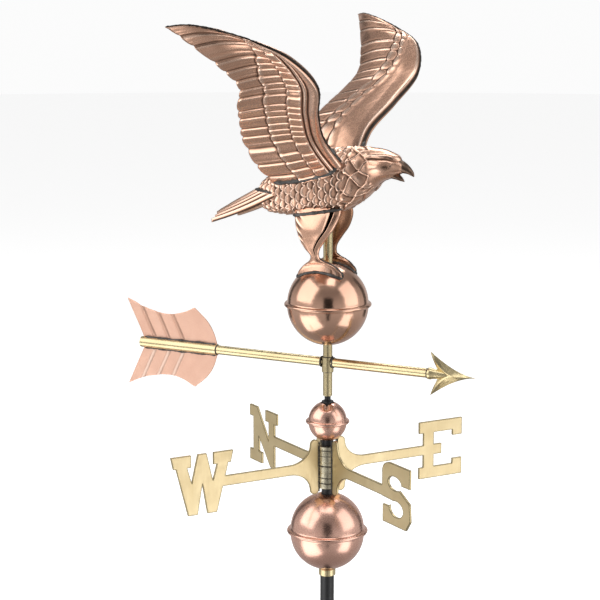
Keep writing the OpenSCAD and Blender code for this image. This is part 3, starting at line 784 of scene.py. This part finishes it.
def root_solder(m, name, side):
    """Solder where the wing meets the body, heavy below and in front, thin above."""
    u = np.linspace(0.0, 0.13, 24)
    front = (wing_point(u, u * 0 + 0.01, u * 0 - 0.5) + [0.5, 0, 0]) * [1, side, 1]
    solder(m, f"wing_{name}_solder_front", front, 2.9, 2.5 * side)
    v = np.linspace(0.0, 0.97, 90)
    for where, direction, radius, lift in (("under", -1, 3.3, 0.2), ("over", 1, 2.0, 0.6)):
        p = wing_point(v * 0 + 0.012, v, direction * (wing_gap(v * 0, v) + 1.2)) + [0, lift, 0]
        solder(m, f"wing_{name}_solder_{where}", p * [1, side, 1], radius, 3.0 * side + direction)


# ---------- eagle: body ----------

# The body's back and belly from the side (x, z) and its half width, from the tail to the head.
BACK = [(-107, 732), (-91, 748), (-66, 763), (-35, 777), (-5, 789), (20, 794), (49, 796), (70, 796),
        (86, 794), (100, 787.5), (110, 779.5), (113.5, 775)]
BELLY = [(-107, 724), (-91, 708), (-66, 704), (-35, 705), (-5, 709), (20, 712), (42, 722), (62, 738),
         (80, 754), (94, 760), (104, 765), (111, 768.5)]
HALF = [2, 14, 24, 29.5, 31, 31, 27, 22.5, 20, 16, 10.0, 5.0]
UPPER_BEAK = ([(103, 785), (112, 780.5), (119, 775), (124.5, 768.5), (126, 763.5)],
              [(101, 767), (110, 766), (117, 765), (122, 763), (125.4, 761.6)], [9.5, 8.4, 5.8, 3.0, 0.6])
LOWER_BEAK = ([(91, 768), (101, 765.5), (107, 761.5), (112, 756)],
              [(91, 758.5), (101, 757), (107, 755.4), (111.7, 754.6)], [9.5, 7.6, 5.0, 0.7])


def lofted(back, belly, half, u, a, full_below=0.0):
    """Points round a body whose back, belly and half width run along it; a is in radians."""
    top, low = curve(back, u), curve(belly, u)
    wide = curve(np.array(half, float)[:, None], u)[..., 0]
    full = 1 - 0.16 * full_below * ease(-np.cos(a) / 0.5)
    mid, tall = (top + low) / 2, np.maximum((top[..., 1] - low[..., 1]) / 2, 0.4)
    lean = (top[..., 0] - low[..., 0]) / 2
    across = np.sign(np.sin(a)) * np.abs(np.sin(a)) ** full
    down = np.sign(np.cos(a)) * np.abs(np.cos(a)) ** full
    x = mid[..., 0] + lean * np.cos(a)
    return np.stack([x, np.maximum(wide, 0.2) * across, mid[..., 1] + tall * down], -1)


SCALE_LENGTH, SCALES_ROUND = 8.6, 20
TRUNK_FRONT = 50                 # where the rows of scales start
NECK = (57, 768.5)               # where the neck's crossing ridges are counted from
DIAMONDS = (14.5, 14.0)          # distance between ridges, each way


def scales(row, around):
    """Height of roof-tile feathers: row counts towards the tail, around counts round the body."""
    found = []
    for ahead in (1, 0):
        k = np.floor(row) - ahead
        t = row - k
        w = around + 0.5 * np.mod(k, 2)
        which = np.round(w)
        w = 2 * (w - which)
        reach = 1.0 + 0.72 * np.sqrt(np.clip(1 - w ** 2, 0, 1))
        height = 0.75 * t / reach + 0.34 * (1 - w ** 4) + 0.5 * hump(t - reach + 0.24, 0.20)
        height = height + 0.18 * np.sin(2.1 * k + 3.7 * which)
        found.append((t < reach, height - 0.9 * hump(t - reach, 0.09)))
    (on_top, high), (_, low) = found
    return np.where(on_top, high, low)


def lattice(x, z):
    """Large cupped diamonds on the neck, between crossing ridges: (height, painted dark reflection in a
    few cells).
    """
    bend = 1.2 * np.sin(x * 0.21 + z * 0.13)
    p = share(((x - NECK[0]) * 0.71 - (z - NECK[1]) * 0.71 + bend) / DIAMONDS[0])
    q = share(((x - NECK[0]) * 0.45 + (z - NECK[1]) * 0.89 - bend) / DIAMONDS[1])
    edge = np.minimum(np.minimum(p, 1 - p), np.minimum(q, 1 - q))
    cup = 1 - 0.6 * (p + q) + 0.5 * hump(p - 0.4, 0.3) * hump(q - 0.4, 0.3)
    # painted reflection: the inner parts of a few cells on the side of the neck darkened, as a dark
    # reflection
    shade = ease((edge - 0.07) / 0.10) * ease((p + q - 0.65) / 0.5) * hump(x - 54, 15) * hump(z - 770, 12)
    return 1.25 * cup + 0.75 * hump(edge, 0.05), shade


def head_relief(x, z):
    """Brow ridge with a groove under it, and a full cheek, on both sides alike."""
    groove = table(x, [(58, 781.5), (72, 784.5), (92, 784.5), (112, 780)])
    length = ease((x - 57) / 9) * ease((113 - x) / 5)
    h = -1.9 * hump(z - groove, 1.5) * length + 1.2 * hump(z - groove - 3.6, 2.4) * length
    h = h + 2.6 * hump(x - 84, 12) * hump(z - 773, 6.5)
    h = h - 1.2 * hump(z - 767 - 0.12 * (x - 84), 1.4) * hump(x - 103, 7)
    return h + 0.8 * hump(x - 99, 3.0) * hump(z - 776, 2.5)


def body_relief(points, a):
    """Scales on the trunk, large diamonds on the neck and the modelled head, with a painted dark
    reflection in a few neck cells.
    """
    x, z = points[..., 0], points[..., 2]
    row = (TRUNK_FRONT - x) / SCALE_LENGTH + 0.30 * np.cos(a) + 0.14 * wobble(x * 0.08, a * 2, 1.0)
    around = a / (2 * np.pi) * SCALES_ROUND + 0.05 * wobble(x * 0.05, a, 4.0)
    trunk = 1.9 * scales(row, around)
    turn = np.abs(np.mod(a + np.pi, 2 * np.pi) - np.pi)
    unrolled = points.mean(1, keepdims=True)[..., 2] + 27 * (np.pi / 2 - turn)
    neck, shade = lattice(x, unrolled)
    neck = 1.35 * neck + 0.5
    head = head_relief(x, z) + 1.2
    to_neck = ease((x - 33 - 7 * np.cos(a)) / 6)
    to_head = ease((x - 66 + 0.15 * (z - 770)) / 6)
    h = trunk * (1 - to_neck) + neck * to_neck
    h = (h * (1 - to_head) + head * to_head) * ease((x + 107) / 8) * ease((114 - x) / 4)
    return h, shade * to_neck * (1 - to_head)


def eagle_body(m):
    """Trunk, neck and head as one closed shell over the body's two CAD halves."""
    u, a = round_grid(330, 280)
    p = lofted(BACK, BELLY, HALF, u, a, full_below=1.6)
    normal = unit(np.cross(np.gradient(p, axis=0), wrapped_gradient(p)))
    outward = np.sign(np.einsum("ijk,ijk->ij", normal, p - p.mean(1, keepdims=True)).sum())
    h, shade = body_relief(p, a)
    p = p + normal * outward * h[..., None]
    # masks for painted shade in the scales' hollows and a painted highlight on their ridges
    crevice, ridge = painted_shade_and_highlight(h, 3, 0.6)
    # the neck cells' painted dark reflection joins the painted shade in the crevices
    ob = closed_tube("eagle_body_shell", p, marks([np.maximum(crevice, 0.85 * shade)], [ridge]))
    place(ob, VANE, m, "bird_copper", "eagle_body_left", "eagle_body_right")


def wrapped_gradient(p):
    """Difference between the neighbours on both sides, all the way round."""
    return np.roll(p, -1, axis=1) - np.roll(p, 1, axis=1)


def beak(m):
    """The hooked upper beak and the short lower one."""
    for name, (back, belly, half) in (("beak_upper", UPPER_BEAK), ("beak_lower", LOWER_BEAK)):
        u, a = round_grid(60, 64)
        ob = closed_tube(name, lofted(back, belly, half, u, a))
        place(ob, VANE, m, "beak_copper")


def body_seams(m):
    """The dark seam where the body's two halves meet, over the head and down the breast."""
    t = np.linspace(0.36, 0.985, 160)
    for name, line, lift in (("back", BACK, 0.7), ("breast", BELLY, -0.7)):
        q = curve(line, t)
        path = np.stack([q[:, 0], q[:, 0] * 0, q[:, 1] + lift], -1)
        solder(m, f"body_seam_{name}", path, 1.0, 4.0 + lift, finish="seam")


# ---------- eagle: tail and legs ----------

TAIL_FEATHERS = 12


def tail_point(u, v, off):
    """Points on the tail fan: u from its root to its end, v across it, off above its middle."""
    p, q = u[..., None], np.abs(v)
    root = np.stack([-107 + 45 * v ** 2, 24 * v, 731 + 0 * v], -1)
    tip = np.stack([-164 + 2 * q, 34.5 * v, 700 - 12 * v ** 2], -1)
    lift = off - 3 * np.sin(np.pi * np.clip(u, 0, 1)) * v ** 2
    return (1 - p) * root + p * tip + np.stack([0 * lift, 0 * lift, lift], -1)


def tail(m):
    """The fan of ribbed feathers with stepped ends, and the solder round its root."""
    u, v = grid(120, 181, -1)
    n = (v + 1) / 2 * TAIL_FEATHERS * 0.9999
    s, k = share(n), np.floor(n)
    reach = 0.955 + 0.045 * rib(s, 2.2) - 0.020 * np.mod(k, 3) + 0.01 * np.sin(5 * k)
    w = u * (1 - (1 - reach) * ease((u - 0.4) / 0.6))
    hollow = 1.2 * (1 - v ** 2) * np.sin(np.pi * np.minimum(0.5, 1 - u))
    h = (1.5 * rib(s, 3) + 0.6 * hump(s - 0.5, 0.12)) * ease(u / 0.08)
    top = tail_point(w, v, hollow + SHEET + h)
    low = tail_point(w, v, -hollow - SHEET - 0.6 * h)
    # masks for painted shade in the feathers' hollows and a painted highlight on their ridges
    crevice, ridge = painted_shade_and_highlight(h, 4, 0.45)
    fan = closed_sheet("tail_fan", top, low, marks([crevice] * 2, [ridge] * 2))
    place(fan, VANE, m, "bird_copper", "tail_upper", "tail_lower")
    a = np.linspace(-0.98, 0.98, 80)
    for name, off, radius in (("over", 2.6, 2.0), ("under", -2.4, 1.7)):
        path = tail_point(a * 0 + 0.03, a, a * 0 + off)
        solder(m, f"tail_solder_{name}", path, radius, 1.0 + off)


# Rings down a leg: middle x and y, height, half length and half width.
# A height under ON_BALL is measured up from the big ball's surface.
LEG_RINGS = [(-7, 14.5, 720, 34, 8), (-6, 20, 706, 33.5, 9.5), (-7.5, 24.5, 688, 27.5, 9),
             (-10, 25.3, 673, 19, 7.5), (-10.2, 25.7, 661, 11.2, 5.8), (-6.5, 26, 652, 6.2, 4.8),
             (-6, 25.3, 14, 9.5, 4.7), (-3, 23, 9.8, 23, 4.4), (-1.5, 21, 5.8, 32.3, 7.0),
             (-1.5, 20.5, 0, 33, 8.5)]
ON_BALL = 100
# Down a leg, degrees from its front: where its halves part, and how far the outer one stays clear.
LEG_PART = [(0, 36), (0.22, 42), (0.44, 60), (0.56, 58), (0.67, 30), (0.78, 4), (1, 1)]
LEG_SLIT = [(0, 14), (0.22, 10), (0.56, 7), (0.78, 3), (1, 3)]
LEG_BACK = 179                   # degrees from the front to where the halves meet behind


def leg_point(u, a, out):
    """Points round a leg: u from thigh to foot, a in radians from the front round the outside."""
    rings = []
    for x0, y0, height, long, wide in LEG_RINGS:
        x, y = x0 + (long + out) * np.cos(a), y0 + (wide + out) * np.sin(a)
        on_ball = BALL_Z + np.sqrt(np.maximum((BALL_R + 0.4) ** 2 - x * x - y * y, 0)) + height
        rings.append(np.stack([x, y, on_ball if height < ON_BALL else np.full_like(x, height)], -1))
    p = np.stack(rings)
    n = len(rings) - 1
    s = np.clip(u, 0, 1) * n
    i = np.minimum(s.astype(int), n - 1)
    near = [np.clip(i + k, 0, n)[None, ..., None] for k in (-1, 0, 1, 2)]
    return blend_four([np.take_along_axis(p, k, 0)[0] for k in near], (s - i)[..., None])


def leg_relief(u, degrees):
    """A few slanted strokes down the back edge of the thigh, and the toes' hollows."""
    stroke = share(u * 12.5 + (degrees - 128) / 34)
    thigh = hump(degrees - 143, 15) * ease((0.42 - u) / 0.05) * ease((u - 0.05) / 0.05)
    toes = -0.6 * (hump(degrees - 24, 6) + hump(degrees - 52, 6)) * ease((u - 0.84) / 0.06)
    return 1.5 * thigh * (hump(stroke - 0.5, 0.17) - 0.3 * hump(stroke - 0.82, 0.10)) + toes


def leg_shell(name, side, outer):
    """Half of a leg as a thin shell, from the line where its halves part in front to the back.

    The outer half stands clear of that line by the slit, and carries the relief. The inside face of each
    half is darkened almost in full, as painted shade in the hollow leg.
    """
    u, t = grid(170, 84)
    start = table(u, LEG_PART) + outer * table(u, LEG_SLIT)
    degrees = start + ((LEG_BACK if outer else -LEG_BACK) - start) * t
    h = outer * leg_relief(u, np.abs(degrees))
    lip = 0.5 * hump(t, 0.03) * ease((0.6 - u) / 0.1)
    out = leg_point(u, np.radians(degrees), h + lip) * [1, side, 1]
    inner = leg_point(u, np.radians(degrees), -SHEET + 0 * h) * [1, side, 1]
    # masks for painted shade in the strokes' hollows and a painted highlight on their ridges
    crevice, ridge = painted_shade_and_highlight(h, 3, 0.35)
    # painted shade: the inside face, in the hollow leg, darkened almost in full
    return closed_sheet(name, out, inner, marks([crevice, 0.95 + 0 * crevice], [ridge, 0 * ridge]))


def legs(m):
    """Both legs; the left one's inner half, the far one, has a darker copper as painted shade."""
    for name, side, inner_finish in (("left", 1, "far_leg_shade"), ("right", -1, "bird_copper")):
        outer = leg_shell(f"leg_{name}_outer_shell", side, True)
        place(outer, VANE, m, "bird_copper", f"leg_{name}_outer")
        inner = leg_shell(f"leg_{name}_inner_shell", side, False)
        place(inner, VANE, m, inner_finish, f"leg_{name}_inner")
        leg_solder(m, name, side)


def leg_solder(m, name, side):
    """Solder round the thigh's top and under the foot, and down the seam of the foot."""
    a = np.linspace(0, 2 * np.pi, 120)
    thigh = leg_point(0.085 - 0.04 * np.cos(a), a, a * 0 + 1.0)
    foot = leg_point(a * 0 + 0.99, a, a * 0 + 0.9)
    u = np.linspace(0.60, 0.97, 50)
    toe = leg_point(u, u * 0, u * 0 + 0.2)
    for where, path, radius in (("thigh", thigh, 2.2), ("foot", foot, 2.0), ("toe", toe, 1.0)):
        solder(m, f"leg_{name}_solder_{where}", path * [1, side, 1], radius, side + 5 * radius)


# ---------- solder on the fittings ----------

def circle(radius, centre, axis, steps=72):
    """A closed ring of points round a centre, square to the X or the Z axis."""
    a = np.linspace(0, 2 * np.pi, steps)
    c, s, zero = radius * np.cos(a), radius * np.sin(a), 0 * a
    ring = np.stack([zero, c, s], -1) if axis == "x" else np.stack([c, s, zero], -1)
    return ring + np.asarray(centre, float)


FITTING_RINGS = [                # name, middle, axis square to the ring, its radius, the bead's radius
    ("cross_front", (8.6, 0, ARROW_Z), "x", 6.7, 1.2),
    ("cross_rear", (-8.6, 0, ARROW_Z), "x", 6.7, 1.2),
    ("head", (HEAD_REAR - 4.2, 0, ARROW_Z), "x", 6.7, 0.8),
    ("sleeve", (-173, 0, ARROW_Z), "x", 6.8, 0.8),
    ("cross_top", (0, 0, ARROW_Z + 7.2), "z", 6.9, 0.8),
    ("cross_foot", (0, 0, ARROW_Z - 13.2), "z", 6.9, 0.8)]
HUB_R = 14.15
HUB_GROOVES = [(382, 0.6), (374, 0.45), (360.2, 0.9), (343.8, 0.7), (336, 0.45)]
ARM_TURNS = {"east": 58, "north": 148, "west": 238, "south": -32}
ARM_HALF = 0.135                 # radians from an arm's middle to the solder beside it


def fitting_solder(m):
    """Fillets at the cross fitting, the arrowhead and the sleeve."""
    for k, (name, centre, axis, radius, size) in enumerate(FITTING_RINGS):
        solder(m, f"{name}_solder", circle(radius, centre, axis), size, 1.0 + k)


def hub_grooves(m):
    """Dark, slightly wavy rings where the hub's turned steps meet."""
    for k, (z, size) in enumerate(HUB_GROOVES):
        path = circle(HUB_R, (0, 0, z), "z")
        path[:, 2] += 0.4 * np.sin(np.linspace(0, 9 + k, len(path)))
        solder(m, f"hub_groove_{k}", path, size, 3.0 + k, MAST, "seam")


def arm_solder(m):
    """Upright runs of solder on both sides of each lettered arm's foot."""
    z = np.linspace(324, 395, 50)
    for name, turn in ARM_TURNS.items():
        for side, side_name in ((-1, "a"), (1, "b")):
            a = math.radians(turn) + side * ARM_HALF
            r = 14.5 + 0.3 * np.sin(z * 0.4 + turn)
            path = np.stack([r * math.cos(a), r * math.sin(a), z], -1)
            solder(m, f"arm_{name}_solder_{side_name}", path, 0.9, turn + side, MAST)


# ---------- studio, in metres ----------

VANE_MIDDLE = Vector((0, 0, 0.6))


def plain(name, shade):
    """A dull grey surface."""
    material = bpy.data.materials.new(name)
    material.use_nodes = True
    shader = material.node_tree.nodes["Principled BSDF"]
    shader.inputs["Base Color"].default_value = (shade, shade, shade, 1.0)
    shader.inputs["Roughness"].default_value = 0.9
    return material


def floor():
    """A wide, plain, pale floor."""
    bm = bmesh.new()
    bmesh.ops.create_circle(bm, cap_ends=True, radius=12.0, segments=96)
    mesh = bpy.data.meshes.new("floor")
    bm.to_mesh(mesh)
    bm.free()
    ob = linked("floor", mesh)
    pale = plain("floor", 0.86)
    shader = pale.node_tree.nodes["Principled BSDF"]
    shader.inputs["Emission Color"].default_value = (1.0, 1.0, 1.0, 1.0)
    shader.inputs["Emission Strength"].default_value = 0.63
    ob.data.materials.append(pale)
    ob.visible_glossy = False
    ob.visible_diffuse = False
    ob.visible_shadow = False


def card(name, azimuth, distance, width, low, high, shade):
    """A tall card that the metal mirrors but the camera doesn't see."""
    a = math.radians(azimuth)
    away = Vector((math.sin(a), -math.cos(a), 0))
    across = Vector((math.cos(a), math.sin(a), 0))
    corners = [away * distance + across * s * width / 2 + Vector((0, 0, z))
               for s, z in ((-1, low), (1, low), (1, high), (-1, high))]
    mesh = bpy.data.meshes.new(name)
    mesh.from_pydata([tuple(c) for c in corners], [], [(0, 1, 2, 3)])
    ob = linked(name, mesh)
    ob.data.materials.append(plain(name, shade))
    ob.visible_camera = False
    ob.visible_shadow = False
    ob.visible_diffuse = False


def softbox(name, azimuth, elevation, distance, size, watts):
    """A soft rectangular light that shines on the vane's middle and isn't seen itself."""
    a, e = math.radians(azimuth), math.radians(elevation)
    way = Vector((math.sin(a) * math.cos(e), -math.cos(a) * math.cos(e), math.sin(e)))
    light = bpy.data.lights.new(name, "AREA")
    light.shape = "RECTANGLE"
    light.size, light.size_y = size
    light.energy = watts
    ob = linked(name, light)
    ob.location = VANE_MIDDLE + way * distance
    ob.rotation_mode = "QUATERNION"
    ob.rotation_quaternion = way.to_track_quat("Z", "Y")
    ob.visible_camera = False


# Brightness of the sky as a light, from straight down (0) to straight up (1).
SKY = [(0.0, 0.30), (0.25, 0.46), (0.47, 0.62), (0.60, 0.48), (0.80, 0.26), (1.0, 0.38)]


def world():
    """White to the eye; as light, brightest at the horizon and dimmer above and below."""
    scene_world = bpy.data.worlds.new("studio")
    bpy.context.scene.world = scene_world
    scene_world.use_nodes = True
    tree = scene_world.node_tree
    tree.nodes.clear()
    out = tree.nodes.new("ShaderNodeOutputWorld")
    rays = tree.nodes.new("ShaderNodeLightPath")
    around = tree.nodes.new("ShaderNodeTexCoord").outputs["Generated"]
    way = add(tree, "ShaderNodeSeparateXYZ", Vector=around)
    ramp = add(tree, "ShaderNodeValToRGB", Fac=spread(tree, way.outputs["Z"], -1.0, 1.0, 0.0, 1.0))
    while len(ramp.color_ramp.elements) < len(SKY):
        ramp.color_ramp.elements.new(0.5)
    for stop, (position, value) in zip(ramp.color_ramp.elements, SKY):
        stop.position = position
        stop.color = (value, value, value, 1.0)
    light = tree.nodes.new("ShaderNodeBackground")
    tree.links.new(ramp.outputs["Color"], light.inputs["Color"])
    seen = tree.nodes.new("ShaderNodeBackground")
    seen.inputs["Color"].default_value = (0.97, 0.97, 0.97, 1.0)
    mix = tree.nodes.new("ShaderNodeMixShader")
    tree.links.new(rays.outputs["Is Camera Ray"], mix.inputs[0])
    tree.links.new(light.outputs[0], mix.inputs[1])
    tree.links.new(seen.outputs[0], mix.inputs[2])
    tree.links.new(mix.outputs[0], out.inputs["Surface"])


def camera():
    """The photograph's own viewing angle."""
    data = bpy.data.cameras.new("camera")
    data.lens, data.sensor_width = 115.76, 36.0
    data.clip_start, data.clip_end = 0.05, 60.0
    ob = linked("camera", data)
    ob.location = (1.1731, -2.2706, 1.0523)
    ob.rotation_euler = (math.radians(79.716), 0.0, math.radians(28.164))
    bpy.context.scene.camera = ob


def studio():
    camera()
    world()
    floor()
    bpy.context.scene.view_settings.view_transform = "Standard"
    softbox("key", -46, 30, 2.8, (3.0, 2.8), 44)
    softbox("side", 100, 24, 2.8, (2.4, 3.0), 30)
    softbox("top", 20, 74, 2.6, (1.8, 1.1), 12)
    softbox("low_left", -34, -42, 2.8, (2.5, 2.0), 29)
    softbox("low_right", 88, -34, 2.8, (1.5, 1.6), 12)
    softbox("back", 200, 50, 2.8, (1.8, 1.0), 22)
    card("dark_front", 28, 3.0, 1.5, 0.0, 2.1, 0.006)
    card("dark_low", 28, 3.0, 0.5, -1.6, 0.0, 0.006)
    card("dark_left", -112, 2.6, 0.8, -0.4, 2.2, 0.08)
    card("dark_right", 158, 2.6, 0.8, -0.4, 2.2, 0.08)


def build():
    m = materials()
    turned_parts(m)
    inner_parts(m)
    letter_arms(m)
    balls(m)
    arrowhead(m)
    fletch(m)
    for name, side in (("left", 1), ("right", -1)):
        wing(m, name, side)
    eagle_body(m)
    beak(m)
    body_seams(m)
    tail(m)
    legs(m)
    fitting_solder(m)
    hub_grooves(m)
    arm_solder(m)


studio()
build()
